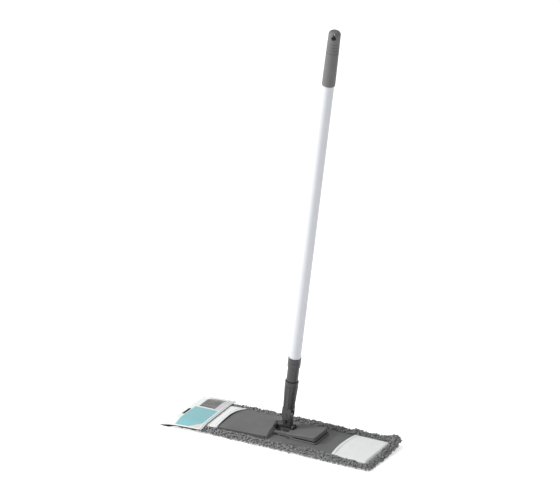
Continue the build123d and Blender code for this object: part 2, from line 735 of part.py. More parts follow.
with BuildPart() as fringe_left:
    with BuildSketch() as fringe_left_outline:
        pad_outline(pad_left_edge, -PAD_LENGTH / 2, 0)
        fillet(fringe_left_outline.vertices().group_by(Axis.X)[0], PAD_CORNER)
        with Locations(((pad_left_edge - PAD_LENGTH / 2 + FRINGE_WIDTH) / 2, 0)):
            Rectangle(
                pad_left_edge + PAD_LENGTH / 2 - FRINGE_WIDTH,
                PAD_WIDTH - 2 * FRINGE_WIDTH,
                mode=Mode.SUBTRACT,
            )
    extrude(amount=FRINGE_HEIGHT)
    card_relief()
    with BuildSketch(side_view):
        with BuildLine():
            Polyline(
                (CARD_LEFT + 4, 3),
                (CARD_BEND_X + 1, 11.9),
                (CARD_RIGHT + 2, CARD_BEND_Z),
                (CARD_RIGHT + 2, FRINGE_HEIGHT),
                (CARD_LEFT + 4, FRINGE_HEIGHT),
                close=True,
            )
        make_face()
    extrude(amount=PAD_WIDTH, both=True, mode=Mode.SUBTRACT)
fringe_left.part.label = "fringe_left"
export_step(fringe_left.part, "parts/fringe_left.step")

# Pockets: the cloth over each wing's end
with BuildPart() as right_pocket:
    with BuildSketch(Plane.XY.offset(WING_TOP + POCKET_LIFT)):
        with Locations(((RIGHT_POCKET_START + POCKET_END) / 2, 0)):
            Rectangle(POCKET_END - RIGHT_POCKET_START, 2 * POCKET_HALF)
    extrude(amount=POCKET_THICKNESS)
right_pocket.part.label = "right_pocket"
export_step(right_pocket.part, "parts/right_pocket.step")

with BuildPart() as left_pocket:
    with BuildSketch(Plane.XY.offset(WING_TOP + POCKET_LIFT)):
        with Locations(((COVER_LEFT - 0.5 - POCKET_END) / 2, 0)):
            Rectangle(POCKET_END + COVER_LEFT - 0.5, 2 * POCKET_HALF)
    extrude(amount=POCKET_THICKNESS)
left_pocket.part.label = "left_pocket"
export_step(left_pocket.part, "parts/left_pocket.step")

# Header card: one folded sheet, open towards the pad, with a hanging slot
with BuildPart() as header_card:
    with BuildSketch(side_view):
        with BuildLine():
            Polyline(
                (CARD_RELIEF_X - 6, CARD_THICKNESS),
                (CARD_LEFT + 4, CARD_THICKNESS),
                (CARD_LEFT, CARD_FOLD_Z),
                (CARD_BEND_X, CARD_BEND_Z),
                (CARD_RIGHT, CARD_BEND_Z + 1),
            )
        trace(line_width=CARD_THICKNESS)
    extrude(amount=CARD_HALF_WIDTH, both=True)
    with BuildSketch(Plane.XY.offset(SOLE_HEIGHT)):
        with Locations((CARD_SLOT_X, CARD_SLOT_Y)):
            Rectangle(CARD_SLOT_WIDTH, CARD_SLOT_LENGTH)
    extrude(amount=2 * SOLE_HEIGHT, mode=Mode.SUBTRACT)
header_card.part.label = "header_card"
export_step(header_card.part, "parts/header_card.step")
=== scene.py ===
"""Looks of the flat mop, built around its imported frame. Every length is in metres."""

import json
import math
import random

import bpy
from mathutils import Matrix, Vector, noise


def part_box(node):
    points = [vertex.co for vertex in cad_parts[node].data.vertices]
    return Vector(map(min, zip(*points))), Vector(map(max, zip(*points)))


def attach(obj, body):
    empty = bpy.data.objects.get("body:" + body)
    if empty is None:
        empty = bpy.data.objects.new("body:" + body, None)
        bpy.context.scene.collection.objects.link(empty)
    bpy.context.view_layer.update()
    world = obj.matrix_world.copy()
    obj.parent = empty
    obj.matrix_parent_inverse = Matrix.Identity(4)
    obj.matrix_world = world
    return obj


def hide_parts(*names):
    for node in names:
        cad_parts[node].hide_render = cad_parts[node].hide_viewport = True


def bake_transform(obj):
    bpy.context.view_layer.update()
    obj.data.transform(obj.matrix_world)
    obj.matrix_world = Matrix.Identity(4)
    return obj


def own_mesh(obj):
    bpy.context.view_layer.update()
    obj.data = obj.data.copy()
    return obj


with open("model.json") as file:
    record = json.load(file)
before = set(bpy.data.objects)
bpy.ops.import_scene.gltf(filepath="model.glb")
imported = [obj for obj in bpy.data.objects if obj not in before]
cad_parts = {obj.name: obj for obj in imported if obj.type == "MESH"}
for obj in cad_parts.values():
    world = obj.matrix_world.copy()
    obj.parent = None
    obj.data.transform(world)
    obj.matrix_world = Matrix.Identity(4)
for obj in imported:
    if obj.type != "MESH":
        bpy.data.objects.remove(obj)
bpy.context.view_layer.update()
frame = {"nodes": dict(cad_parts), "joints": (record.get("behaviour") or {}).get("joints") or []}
nodes = frame["nodes"]
joints = {joint["name"]: joint for joint in frame["joints"]}
MM = 0.001
UP = Vector((0, 0, 1))

# Camera and light
CAMERA_AZIMUTH = math.radians(28.5)
CAMERA_ELEVATION = math.radians(25)
CAMERA_DISTANCE = 40
CAMERA_LENS = 1422
AIM_RIGHT = -0.0073
AIM_UP = 0.3326

# Pad
PAD_INSET = 1.5 * MM
PAD_BASE = 2.4 * MM
ROLL_WIDTH = 14.5 * MM
LOOP_SPACING = 2.35 * MM
LOOP_HEIGHT = 2.9 * MM
LOOP_WIDTH = 2.6 * MM
YARN_RADIUS = 0.85 * MM


# ---------------------------------------------------------------- shader building


class Shader:
    """A material's node tree around one Principled shader, with short ways to add nodes."""

    def __init__(self, name, colour, roughness, metallic=0.0):
        self.material = bpy.data.materials.new(name)
        self.material.use_nodes = True
        self.tree = self.material.node_tree
        self.tree.nodes.clear()
        output = self.tree.nodes.new("ShaderNodeOutputMaterial")
        self.main = self.tree.nodes.new("ShaderNodeBsdfPrincipled")
        self.tree.links.new(self.main.outputs["BSDF"], output.inputs["Surface"])
        self.set("Base Color", (*colour, 1))
        self.set("Roughness", roughness)
        self.set("Metallic", metallic)
        self.place = self.add("ShaderNodeTexCoord").outputs["Object"]

    def set(self, socket, value):
        self.main.inputs[socket].default_value = value

    def add(self, kind, inputs=None, **settings):
        node = self.tree.nodes.new(kind)
        for key, value in settings.items():
            setattr(node, key, value)
        for key, value in (inputs or {}).items():
            if isinstance(value, bpy.types.NodeSocket):
                self.tree.links.new(value, node.inputs[key])
            else:
                node.inputs[key].default_value = value
        return node

    def link(self, value, socket):
        self.tree.links.new(value, self.main.inputs[socket])

    def stretched(self, x, y, z):
        """The object's coordinates, scaled along each axis."""
        return self.add("ShaderNodeMapping", {"Vector": self.place, "Scale": (x, y, z)}).outputs["Vector"]

    def noise(self, scale, detail=2, vector=None, roughness=0.5):
        inputs = {"Vector": vector or self.place, "Scale": scale, "Detail": detail, "Roughness": roughness}
        return self.add("ShaderNodeTexNoise", inputs).outputs["Fac"]

    def ramp(self, value, low, high, start=0.0, end=1.0):
        """value from start to end becomes low to high, held outside."""
        inputs = {"Value": value, "From Min": start, "From Max": end, "To Min": low, "To Max": high}
        return self.add("ShaderNodeMapRange", inputs).outputs["Result"]

    def mix(self, factor, first, second):
        """Colour first where factor is 0, and second where it is 1."""
        node = self.add("ShaderNodeMix", data_type="RGBA")
        for key, value in (("Factor", factor), ("A", first), ("B", second)):
            kind = "VALUE" if key == "Factor" else "RGBA"
            sockets = [s for s in node.inputs if s.name == key and s.type == kind]
            if isinstance(value, bpy.types.NodeSocket):
                self.tree.links.new(value, sockets[0])
            else:
                sockets[0].default_value = value if key == "Factor" else (*value, 1)
        return next(s for s in node.outputs if s.type == "RGBA")

    def math(self, operation, first, second):
        return self.add("ShaderNodeMath", {0: first, 1: second}, operation=operation).outputs["Value"]

    def bump(self, height, strength, distance, normal=None):
        inputs = {"Height": height, "Strength": strength, "Distance": distance}
        if normal is not None:
            inputs["Normal"] = normal
        return self.add("ShaderNodeBump", inputs).outputs["Normal"]


def scaled(colour, factor):
    return tuple(channel * factor for channel in colour)


def moulded_plastic(name, colour, roughness, grain=0.16, shine=0.2):
    """Satin moulded plastic: softened edges, a fine spark-eroded grain, faint clouds and edge wear."""
    s = Shader(name, colour, roughness)
    clouds = s.noise(38, 3)
    wear = s.ramp(s.add("ShaderNodeNewGeometry").outputs["Pointiness"], 0, 1, 0.53, 0.6)
    scuffed = s.math("MULTIPLY", wear, s.ramp(s.noise(260, 3), 0, 1, 0.4, 0.65))
    body = s.mix(s.ramp(clouds, 0, 1, 0.3, 0.7), scaled(colour, 0.93), scaled(colour, 1.07))
    s.link(s.mix(s.math("MULTIPLY", scuffed, 0.35), body, scaled(colour, 1.7)), "Base Color")
    s.link(s.ramp(s.noise(520, 4), roughness - 0.06, roughness + 0.09, 0.3, 0.7), "Roughness")
    rounded = s.add("ShaderNodeBevel", {"Radius": 0.5 * MM}, samples=6).outputs["Normal"]
    s.link(s.bump(s.noise(1500, 3), 2 * grain, 0.12 * MM, rounded), "Normal")
    s.set("Specular IOR Level", shine)
    return s.material


def tube_paint(name, colour):
    """Smooth pale paint on drawn tube: faint drawing lines, specks and a soft clear gloss."""
    s = Shader(name, colour, 0.3)
    drawn = s.noise(1.0, 3, s.stretched(900, 900, 9))
    specks = s.ramp(s.noise(1500, 2), 0, 1, 0.7, 0.76)
    body = s.mix(s.ramp(drawn, 0, 1, 0.35, 0.65), scaled(colour, 0.975), scaled(colour, 1.02))
    s.link(s.mix(s.math("MULTIPLY", specks, 0.25), body, scaled(colour, 0.8)), "Base Color")
    s.link(s.ramp(s.noise(60, 4), 0.26, 0.38, 0.3, 0.7), "Roughness")
    s.link(s.bump(drawn, 0.08, 0.05 * MM), "Normal")
    s.set("Specular IOR Level", 0.3)
    s.set("Coat Weight", 0.08)
    s.set("Coat Roughness", 0.2)
    return s.material


def drawn_steel(name, colour):
    s = Shader(name, colour, 0.3, metallic=1.0)
    lines = s.noise(1.0, 3, s.stretched(120, 2400, 2400))
    s.link(s.mix(s.ramp(lines, 0, 1, 0.3, 0.7), scaled(colour, 0.85), scaled(colour, 1.1)), "Base Color")
    s.link(s.ramp(lines, 0.22, 0.42, 0.3, 0.7), "Roughness")
    s.link(s.bump(lines, 0.1, 0.04 * MM), "Normal")
    return s.material


def microfibre(name, colour):
    """Tufts of looped microfibre: each tuft has its own random tone, with painted shade that darkens it
    toward its root, over fine fibres.
    """
    s = Shader(name, colour, 0.95)
    shade = s.add("ShaderNodeAttribute", attribute_name="shade").outputs["Fac"]
    fibres = s.noise(1800, 3, s.stretched(1, 1, 1.6))
    # Painted shade: the "shade" attribute darkens the loops toward their roots and the pad's cloth between
    # them.
    tone = s.mix(shade, scaled(colour, 0.42), scaled(colour, 1.55))
    s.link(s.mix(s.ramp(fibres, 0, 0.3, 0.35, 0.65), tone, scaled(colour, 1.9)), "Base Color")
    s.link(s.bump(s.noise(2300, 3), 0.6, 0.35 * MM), "Normal")
    s.set("Sheen Weight", 0.35)
    s.set("Sheen Roughness", 0.5)
    s.set("Specular IOR Level", 0.2)
    return s.material


def woven_cloth(name, colour, thread=0.55 * MM):
    """A plain weave of round threads, with slubs, and painted shade in the hollows of the weave."""
    s = Shader(name, colour, 0.85)
    turn = 2 * math.pi / thread
    axes = s.add("ShaderNodeSeparateXYZ", {"Vector": s.place})
    along = s.math("SINE", s.math("MULTIPLY", axes.outputs["X"], turn), 0)
    across = s.math("SINE", s.math("MULTIPLY", axes.outputs["Y"], turn), 0)
    weave = s.math("MULTIPLY", along, across)
    slubs = s.noise(1.0, 3, s.stretched(60, 900, 900))
    height = s.math("ADD", weave, s.math("MULTIPLY", slubs, 0.8))
    clouds = s.ramp(s.noise(90, 4), 0, 1, 0.35, 0.7)
    body = s.mix(clouds, scaled(colour, 0.93), colour)
    # Painted shade: the weave's hollows are darkened to 0.88 of the cloth's colour.
    s.link(s.mix(s.ramp(weave, 0, 1, -1, 1), scaled(colour, 0.88), body), "Base Color")
    s.link(s.bump(height, 0.35, 0.15 * MM), "Normal")
    s.set("Sheen Weight", 0.2)
    s.set("Specular IOR Level", 0.25)
    return s.material


def plain_thread(name, colour):
    s = Shader(name, colour, 0.8)
    twist = s.noise(1.0, 2, s.stretched(2400, 900, 2400))
    s.link(s.mix(twist, scaled(colour, 0.8), scaled(colour, 1.1)), "Base Color")
    s.link(s.bump(twist, 0.4, 0.1 * MM), "Normal")
    return s.material


def card_stock(name, colour):
    """Uncoated board, for the card's back and its cut edges."""
    s = Shader(name, colour, 0.85)
    flecks = s.noise(900, 4)
    s.link(s.mix(s.ramp(flecks, 0, 1, 0.35, 0.7), scaled(colour, 0.86), scaled(colour, 1.05)), "Base Color")
    s.link(s.bump(s.noise(1400, 3), 0.2, 0.08 * MM), "Normal")
    return s.material


TEAL = (0.185, 0.42, 0.45)
PICTURE_GREY = (0.105, 0.105, 0.1)
LILAC_GREY = (0.52, 0.50, 0.53)
SAND = (0.60, 0.55, 0.48)
BLUSH = (0.76, 0.69, 0.68)
PAPER = (0.69, 0.73, 0.72)


def printed_card(name):
    """Coated card with plain printed blocks of colour, laid out in the sheet's own metres."""
    s = Shader(name, PAPER, 0.35)
    flat = s.add("ShaderNodeUVMap", uv_map="print").outputs["UV"]
    axes = s.add("ShaderNodeSeparateXYZ", {"Vector": flat})
    along, across = axes.outputs["X"], axes.outputs["Y"]

    def between(value, low, high):
        above = s.math("GREATER_THAN", value, low)
        below = s.math("LESS_THAN", value, high)
        return s.math("MULTIPLY", above, below)

    def block(x_low, x_high, y_low, y_high):
        inside_x = between(along, x_low * MM, x_high * MM)
        return s.math("MULTIPLY", inside_x, between(across, y_low * MM, y_high * MM))

    patches = s.ramp(s.noise(150, 5), 0, 1, 0.35, 0.65)
    picture = s.mix(patches, scaled(PICTURE_GREY, 0.7), scaled(PICTURE_GREY, 1.5))
    colour = s.mix(block(-213, -205, -68, 20), PAPER, BLUSH)
    colour = s.mix(block(-185, -151, 14, 60), colour, picture)
    colour = s.mix(block(-151, -140, 12, 64), colour, LILAC_GREY)
    colour = s.mix(block(-190, -141, -64, 10), colour, TEAL)
    colour = s.mix(block(-138.2, -137, -68, 68), colour, PICTURE_GREY)
    slope = s.math("ADD", across, s.math("MULTIPLY", along, -0.75))
    corner = s.math("LESS_THAN", slope, 58 * MM)
    colour = s.mix(s.math("MULTIPLY", corner, block(-190, -141, -64, 10)), colour, SAND)
    ink = s.ramp(s.noise(1200, 2), 0.97, 1.03, 0.3, 0.7)
    s.link(s.mix(s.ramp(ink, 0, 0.08, 0.97, 1.03), colour, PAPER), "Base Color")
    s.link(s.ramp(s.noise(140, 4), 0.3, 0.44, 0.3, 0.7), "Roughness")
    s.link(s.bump(s.noise(300, 3), 0.06, 0.1 * MM), "Normal")
    s.set("Coat Weight", 0.3)
    s.set("Coat Roughness", 0.2)
    return s.material


FRAME_GREY = (0.122, 0.122, 0.124)
JOINT_GREY = (0.028, 0.028, 0.03)
GRIP_GREY = (0.118, 0.118, 0.12)
FIBRE_GREY = (0.19, 0.19, 0.192)

frame_plastic = moulded_plastic("frame_plastic", FRAME_GREY, 0.46)
joint_plastic = moulded_plastic("joint_plastic", JOINT_GREY, 0.3, grain=0.06, shine=0.5)
grip_plastic = moulded_plastic("grip_plastic", GRIP_GREY, 0.48, grain=0.3, shine=0.35)
bush_plastic = moulded_plastic("bush_plastic", (0.72, 0.72, 0.70), 0.4, grain=0.05)
pale_paint = tube_paint("pale_paint", (0.545, 0.56, 0.59))
steel = drawn_steel("steel", (0.56, 0.57, 0.58))
fibre = microfibre("fibre", FIBRE_GREY)
pocket_cloth = woven_cloth("pocket_cloth", (0.73, 0.735, 0.74))
white_thread = plain_thread("white_thread", (0.5, 0.5, 0.5))
card_print = printed_card("card_print")
# The card's back and cut edges are painted near-black: painted shade for the shadow inside the card's fold.
card_back_painted_shade = card_stock("card_back_painted_shade", (0.13, 0.13, 0.125))

# ---------------------------------------------------------------- carried-over CAD nodes

NODE_MATERIALS = {
    frame_plastic: ("right_plate", "left_plate", "left_cover", "pedal"),
    joint_plastic: ("joint_base", "yoke", "socket", "fork_pin", "tube_ferrule", "lock_collar"),
    grip_plastic: ("grip",),
    bush_plastic: ("guide_bush", "collet", "tube_plug"),
    pale_paint: ("outer_tube", "inner_tube"),
    steel: (
        "cover_screws", "base_screws", "fold_pin", "pedal_pins", "yoke_pin", "socket_screw", "pedal_spring",
    ),
}
for material, names in NODE_MATERIALS.items():
    for name in names:
        nodes[name].data.materials.clear()
        nodes[name].data.materials.append(material)

# ---------------------------------------------------------------- pedal spring

# A copy of the CAD coil, carried with the frame.
spring = bpy.data.objects.new("coil_spring", nodes["pedal_spring"].data.copy())
bpy.context.scene.collection.objects.link(spring)
spring.matrix_world = nodes["pedal_spring"].matrix_world.copy()
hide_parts("pedal_spring")
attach(spring, "frame")
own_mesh(spring)

# ---------------------------------------------------------------- mesh helpers


def new_piece(name, vertices, faces, *materials):
    mesh = bpy.data.meshes.new(name)
    mesh.from_pydata([tuple(v) for v in vertices], [], faces)
    mesh.update()
    piece = bpy.data.objects.new(name, mesh)
    bpy.context.scene.collection.objects.link(piece)
    for material in materials:
        mesh.materials.append(material)
    mesh.shade_smooth()
    return piece


def apply_modifiers(piece):
    """Replaces the piece's mesh by its evaluated one."""
    depsgraph = bpy.context.evaluated_depsgraph_get()
    mesh = bpy.data.meshes.new_from_object(piece.evaluated_get(depsgraph), preserve_all_data_layers=True,
                                           depsgraph=depsgraph)
    piece.modifiers.clear()
    piece.data = mesh
    return piece


def smooth_step(value, low, high):
    t = min(max((value - low) / (high - low), 0), 1)
    return t * t * (3 - 2 * t)


def wander(point, size, seed):
    """Smooth noise from -1 to 1 at a point."""
    return noise.noise(Vector(point) / size + Vector((seed, -seed, 2 * seed)))


# ---------------------------------------------------------------- header card

CARD_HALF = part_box("header_card")[1].y
CARD_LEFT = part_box("header_card")[0].x
CARD_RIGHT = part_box("header_card")[1].x
LEAF_START = CARD_LEFT + 4 * MM
LEAF_LENGTH = 60 * MM
LEAF_CLEAR = 1.05 * MM
SLOT_X, SLOT_Y = (-0.1976, -0.1924), (-0.028, -0.002)
TOP_MIDDLE = ((-216, 2.2), (-212, 4.4), (-206, 7.8), (-198, 11.9), (-192, 13), (-170, 13.6), (-134, 13.4))
TOP_EDGE = (
    (-216, 2.2), (-212, 3.2), (-206, 4.7), (-198, 6.4),
    (-185, 7.8), (-170, 8.7), (-150, 9.6), (-134, 10),
)


def along_profile(profile, x):
    """Height at x on a profile of points in millimetres, smoothly between them."""
    x = x / MM
    if x <= profile[0][0]:
        return profile[0][1] * MM
    for (x0, z0), (x1, z1) in zip(profile, profile[1:]):
        if x <= x1:
            return (z0 + (z1 - z0) * (x - x0) / (x1 - x0)) * MM
    return profile[-1][1] * MM


def card_skew(x, y):
    """How far the card's folded end is turned along the head, since it went on a little crooked."""
    return 0.04 * y * smooth_step(-x, -CARD_RIGHT, -CARD_LEFT)


def upper_panel(x, y):
    """Height of the card's upper panel, which droops over the fringe at its ends."""
    droop = smooth_step(abs(y), 42 * MM, CARD_HALF)
    middle, edge = along_profile(TOP_MIDDLE, x), along_profile(TOP_EDGE, x)
    return middle + (edge - middle) * droop + 0.35 * MM * wander((x, y, 0), 50 * MM, 9)


def card_height(x, y):
    """Height of the card over a place on the head. Beyond its edge, there is no card."""
    return upper_panel(x - card_skew(x, y), y) if x < CARD_RIGHT + 1 * MM else 1.0


def card_grid():
    """Rows of points on the folded card, from its lower panel's free edge, round the fold, to its upper's."""
    columns = sorted({round(-CARD_HALF + 2 * CARD_HALF * j / 46, 6) for j in range(47)} | set(SLOT_Y))
    lower = [LEAF_START + LEAF_LENGTH * (1 - k / 20) for k in range(21)]
    upper_length = CARD_RIGHT - CARD_LEFT - 0.6 * MM
    upper = sorted({CARD_LEFT + 0.6 * MM + upper_length * k / 34 for k in range(35)})
    for edge in SLOT_X:
        upper[min(range(len(upper)), key=lambda k: abs(upper[k] - edge))] = edge
    rows = []
    for x in lower:
        narrow = 1 - 0.14 * smooth_step(x, CARD_LEFT + 16 * MM, CARD_LEFT + 28 * MM)
        rows.append([Vector((x, y * narrow, 0.8 * MM)) for y in columns])
    rows.append([Vector((CARD_LEFT + 1 * MM, y, 1.2 * MM)) for y in columns])
    rows.append([Vector((CARD_LEFT + 0.2 * MM, y, 1.7 * MM)) for y in columns])
    first_upper = len(rows)
    for x in upper:
        rows.append([Vector((x, y, upper_panel(x, y))) for y in columns])
    for row in rows:
        for point in row:
            point.x += card_skew(point.x, point.y)
    return columns, rows, first_upper


def header_card():
    columns, rows, first_upper = card_grid()
    width = len(columns)
    faces = []
    for i in range(len(rows) - 1):
        for j in range(width - 1):
            middle_x = (rows[i][0].x + rows[i + 1][0].x) / 2
            middle_y = (columns[j] + columns[j + 1]) / 2
            in_slot = SLOT_X[0] < middle_x < SLOT_X[1] and SLOT_Y[0] < middle_y < SLOT_Y[1]
            if in_slot and i >= first_upper:
                continue
            a = i * width + j
            faces.append((a, a + width, a + width + 1, a + 1))
    piece = new_piece("printed_card", [v for row in rows for v in row], faces, card_print, card_back_painted_shade)
    layer = piece.data.uv_layers.new(name="print")
    for loop in piece.data.loops:
        row, column = divmod(loop.vertex_index, width)
        on_top = row >= first_upper
        layer.data[loop.index].uv = (rows[row][0].x, columns[column]) if on_top else (-1, -1)
    thicken = piece.modifiers.new("thickness", "SOLIDIFY")
    thicken.thickness = 0.5 * MM
    thicken.offset = -1
    thicken.material_offset = 1
    thicken.material_offset_rim = 1
    apply_modifiers(piece)
    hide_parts("header_card")
    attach(piece, "header_card")


header_card()

# ---------------------------------------------------------------- pad

left_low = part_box("fringe_left")[0]
right_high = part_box("fringe_right")[1]
PAD_LEFT, PAD_RIGHT = left_low.x, right_high.x
PAD_HALF = right_high.y
SOLE_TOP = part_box("pad_right")[1].z
CARD_RELIEF = left_low.z
FOLD_X = joints["wing_fold"]["pos_m"][0]
PAD_CORNER = 5.5 * MM
CLOTH_HALF = PAD_HALF - PAD_INSET
PAD_LENGTH = PAD_RIGHT - PAD_LEFT - 2 * PAD_INSET
FRONT_CREST = (
    (-134, 12.5), (-83, 14.2), (-15, 13.4), (23, 13.4), (72, 16),
    (104, 17.2), (130, 16.4), (170, 13.8), (200, 12.4),
)
BACK_CREST = ((-134, 13.5), (-80, 16), (-36, 15), (2, 17.4), (71, 18.6), (140, 19.6), (210, 19))


def edge_distance(x, y):
    """How far a point is inside the outline of the pad's cloth."""
    middle = (PAD_LEFT + PAD_RIGHT) / 2
    dx = abs(x - middle) - (PAD_LENGTH / 2 - PAD_CORNER)
    dy = abs(y) - (CLOTH_HALF - PAD_CORNER)
    outside = math.hypot(max(dx, 0), max(dy, 0))
    return PAD_CORNER - outside - min(max(dx, dy), 0)


def corner_lift(x, y):
    """The back right corner curls up off the floor."""
    right_back = math.hypot(x - PAD_RIGHT, y - PAD_HALF) / (27 * MM)
    return 11 * MM * math.exp(-(right_back**2))


def pad_top(x, y):
    """Height of the pad's cloth: a roll along the border, flat under the plates and under the card."""
    inward = edge_distance(x, y)
    rise = math.sin(math.pi / 2 * min(max(inward / (6 * MM), 0), 1)) ** 0.7
    fall = 1 - smooth_step(inward, 7 * MM, ROLL_WIDTH)
    front, back = along_profile(FRONT_CREST, x), along_profile(BACK_CREST, x)
    crest = front + (back - front) * smooth_step(y, -PAD_HALF / 2, PAD_HALF / 2)
    crest += 0.5 * MM * wander((x, y, 0), 24 * MM, 3) - LOOP_HEIGHT - YARN_RADIUS
    crest = min(crest, card_height(x, y) - LOOP_HEIGHT)
    roll = PAD_BASE + 1.2 * MM + (crest - PAD_BASE - 1.2 * MM) * rise
    flat = SOLE_TOP - 0.6 * MM
    return flat + (roll - flat) * fall if inward > 6 * MM else roll


def pad_bottom(x, y):
    inward = edge_distance(x, y)
    under_card = CARD_RELIEF * (1 - smooth_step(x, -150 * MM, -140 * MM))
    return PAD_BASE + under_card + 1.2 * MM * (1 - smooth_step(inward, 0, 5 * MM))


def closed_slab(name, step, material):
    """The pad's closed form: its top and bottom surfaces on one grid, joined round the edge."""
    columns = round(PAD_LENGTH / step)
    rows = round(2 * CLOTH_HALF / step)
    vertices, faces, index = [], [], {}
    for layer in (0, 1):
        for i in range(columns + 1):
            for j in range(rows + 1):
                x = PAD_LEFT + PAD_INSET + PAD_LENGTH * i / columns
                y = -CLOTH_HALF + 2 * CLOTH_HALF * j / rows
                if edge_distance(x, y) < -0.5 * MM:
                    continue
                height = (pad_bottom, pad_top)[layer](x, y) + corner_lift(x, y)
                index[layer, i, j] = len(vertices)
                vertices.append((x, y, height))
    for layer in (0, 1):
        for i in range(columns):
            for j in range(rows):
                ring = [(layer, i, j), (layer, i + 1, j), (layer, i + 1, j + 1), (layer, i, j + 1)]
                if all(key in index for key in ring):
                    face = [index[key] for key in ring]
                    faces.append(face if layer else face[::-1])
    sides = {}
    for face in faces:
        for a, b in zip(face, face[1:] + face[:1]):
            sides[a, b] = sides.get((a, b), 0) + 1
    keys = {number: key for key, number in index.items()}
    for a, b in list(sides):
        if (b, a) not in sides and keys[a][0] == 1:
            below_a, below_b = index[0, *keys[a][1:]], index[0, *keys[b][1:]]
            faces.append([b, a, below_a, below_b])
    return new_piece(name, vertices, faces, material)


def swell(piece, voxel, pressure, cap, is_free):
    """Remeshes a padded form, lets it swell as cloth under pressure, and caps how far it moves."""
    remesh = piece.modifiers.new("remesh", "REMESH")
    remesh.mode = "VOXEL"
    remesh.voxel_size = voxel
    apply_modifiers(piece)
    start = [v.co.copy() for v in piece.data.vertices]
    held = piece.vertex_groups.new(name="held")
    for i, co in enumerate(start):
        if not is_free(co):
            held.add([i], 1, "REPLACE")
    cloth = piece.modifiers.new("cloth", "CLOTH")
    cloth.settings.quality = 6
    cloth.settings.mass = 0.15
    cloth.settings.tension_stiffness = 12
    cloth.settings.bending_stiffness = 0.4
    cloth.settings.use_pressure = True
    cloth.settings.uniform_pressure_force = pressure
    cloth.settings.effector_weights.gravity = 0
    cloth.settings.vertex_group_mass = "held"
    cloth.settings.shrink_min = -0.06
    for number in range(1, 21):
        bpy.context.scene.frame_set(number)
    apply_modifiers(piece)
    for vertex, before in zip(piece.data.vertices, start):
        moved = vertex.co - before
        if moved.length > cap:
            vertex.co = before + moved * (cap / moved.length)
    bpy.context.scene.frame_set(1)
    piece.data.shade_smooth()
    return piece


pad = closed_slab("pad", 4 * MM, fibre)
swell(pad, 3.5 * MM, 4, 2.2 * MM, lambda co: edge_distance(co.x, co.y) < 14 * MM and co.z > 4 * MM)


def set_shade(piece, values):
    attribute = piece.data.attributes.new("shade", "FLOAT", "POINT")
    attribute.data.foreach_set("value", values)


# The pad's bare cloth is painted dark: painted shade between and under the loops.
set_shade(pad, [0.12] * len(pad.data.vertices))


def loop_shape(seed):
    """One loop of two-strand yarn that stands up out of the cloth, both of its ends sunk in it."""
    draw = random.Random(seed)
    lean = Vector((draw.uniform(-0.25, 0.25), draw.uniform(-0.45, 0.45), 0))
    height = LOOP_HEIGHT * draw.uniform(0.85, 1.15)
    twist = draw.uniform(4.5, 7)
    rings, sides = 9, 6
    spine = []
    for ring in range(rings):
        angle = math.radians(-25 + 230 * ring / (rings - 1))
        rise = height * (0.5 + 0.5 * math.sin(angle))
        spine.append(Vector((LOOP_WIDTH / 2 * math.cos(angle), 0, rise)) + lean * rise)
    points, shades = [], []
    for ring, centre in enumerate(spine):
        ahead = spine[min(ring + 1, rings - 1)] - spine[max(ring - 1, 0)]
        across = ahead.cross(Vector((0, 1, 0))).normalized()
        side_way = ahead.cross(across).normalized()
        for side in range(sides):
            angle = 2 * math.pi * side / sides
            strand = 1 + 0.24 * math.cos(2 * angle + twist * ring / 2)
            outward = across * math.cos(angle) + side_way * math.sin(angle)
            points.append(centre + outward * YARN_RADIUS * strand)
            # Painted shade: darker toward the loop's root and in the grooves between the twisted strands,
            # with painted highlight on the strands' ridges.
            shades.append(0.1 + 0.75 * (centre.z / height) ** 1.5 + 0.15 * (strand - 1) / 0.24)
    faces = []
    for ring in range(rings - 1):
        for side in range(sides):
            a = ring * sides + side
            b = ring * sides + (side + 1) % sides
            faces.append((a, b, b + sides, a + sides))
    faces.append(tuple(range(sides))[::-1])
    faces.append(tuple(range((rings - 1) * sides, rings * sides)))
    return points, faces, shades


LOOP_SHAPES = [loop_shape(seed) for seed in range(8)]


def scatter(piece, spacing, wanted, seed):
    """Evenly spaced points and normals on a piece's surface, where wanted(point, normal) is true."""
    draw = random.Random(seed)
    mesh = piece.data
    mesh.calc_loop_triangles()
    triangles = []
    for triangle in mesh.loop_triangles:
        corners = [mesh.vertices[v].co for v in triangle.vertices]
        if wanted(sum(corners, Vector()) / 3, triangle.normal):
            triangles.append((triangle.area, corners, triangle.normal.copy()))
    total = sum(area for area, _, _ in triangles)
    tries = int(total / spacing**2 * 5)
    picks = draw.choices(range(len(triangles)), weights=[area for area, _, _ in triangles], k=tries)
    taken, grid = [], {}
    for pick in picks:
        _, (a, b, c), normal = triangles[pick]
        u, v = draw.random(), draw.random()
        if u + v > 1:
            u, v = 1 - u, 1 - v
        point = a + (b - a) * u + (c - a) * v
        cell = tuple(int(math.floor(value / spacing)) for value in point)
        near = (
            other
            for dx in (-1, 0, 1) for dy in (-1, 0, 1) for dz in (-1, 0, 1)
            for other in grid.get((cell[0] + dx, cell[1] + dy, cell[2] + dz), ())
        )
        if all((other - point).length > spacing * 0.82 for other in near):
            grid.setdefault(cell, []).append(point)
            taken.append((point, normal))
    return taken


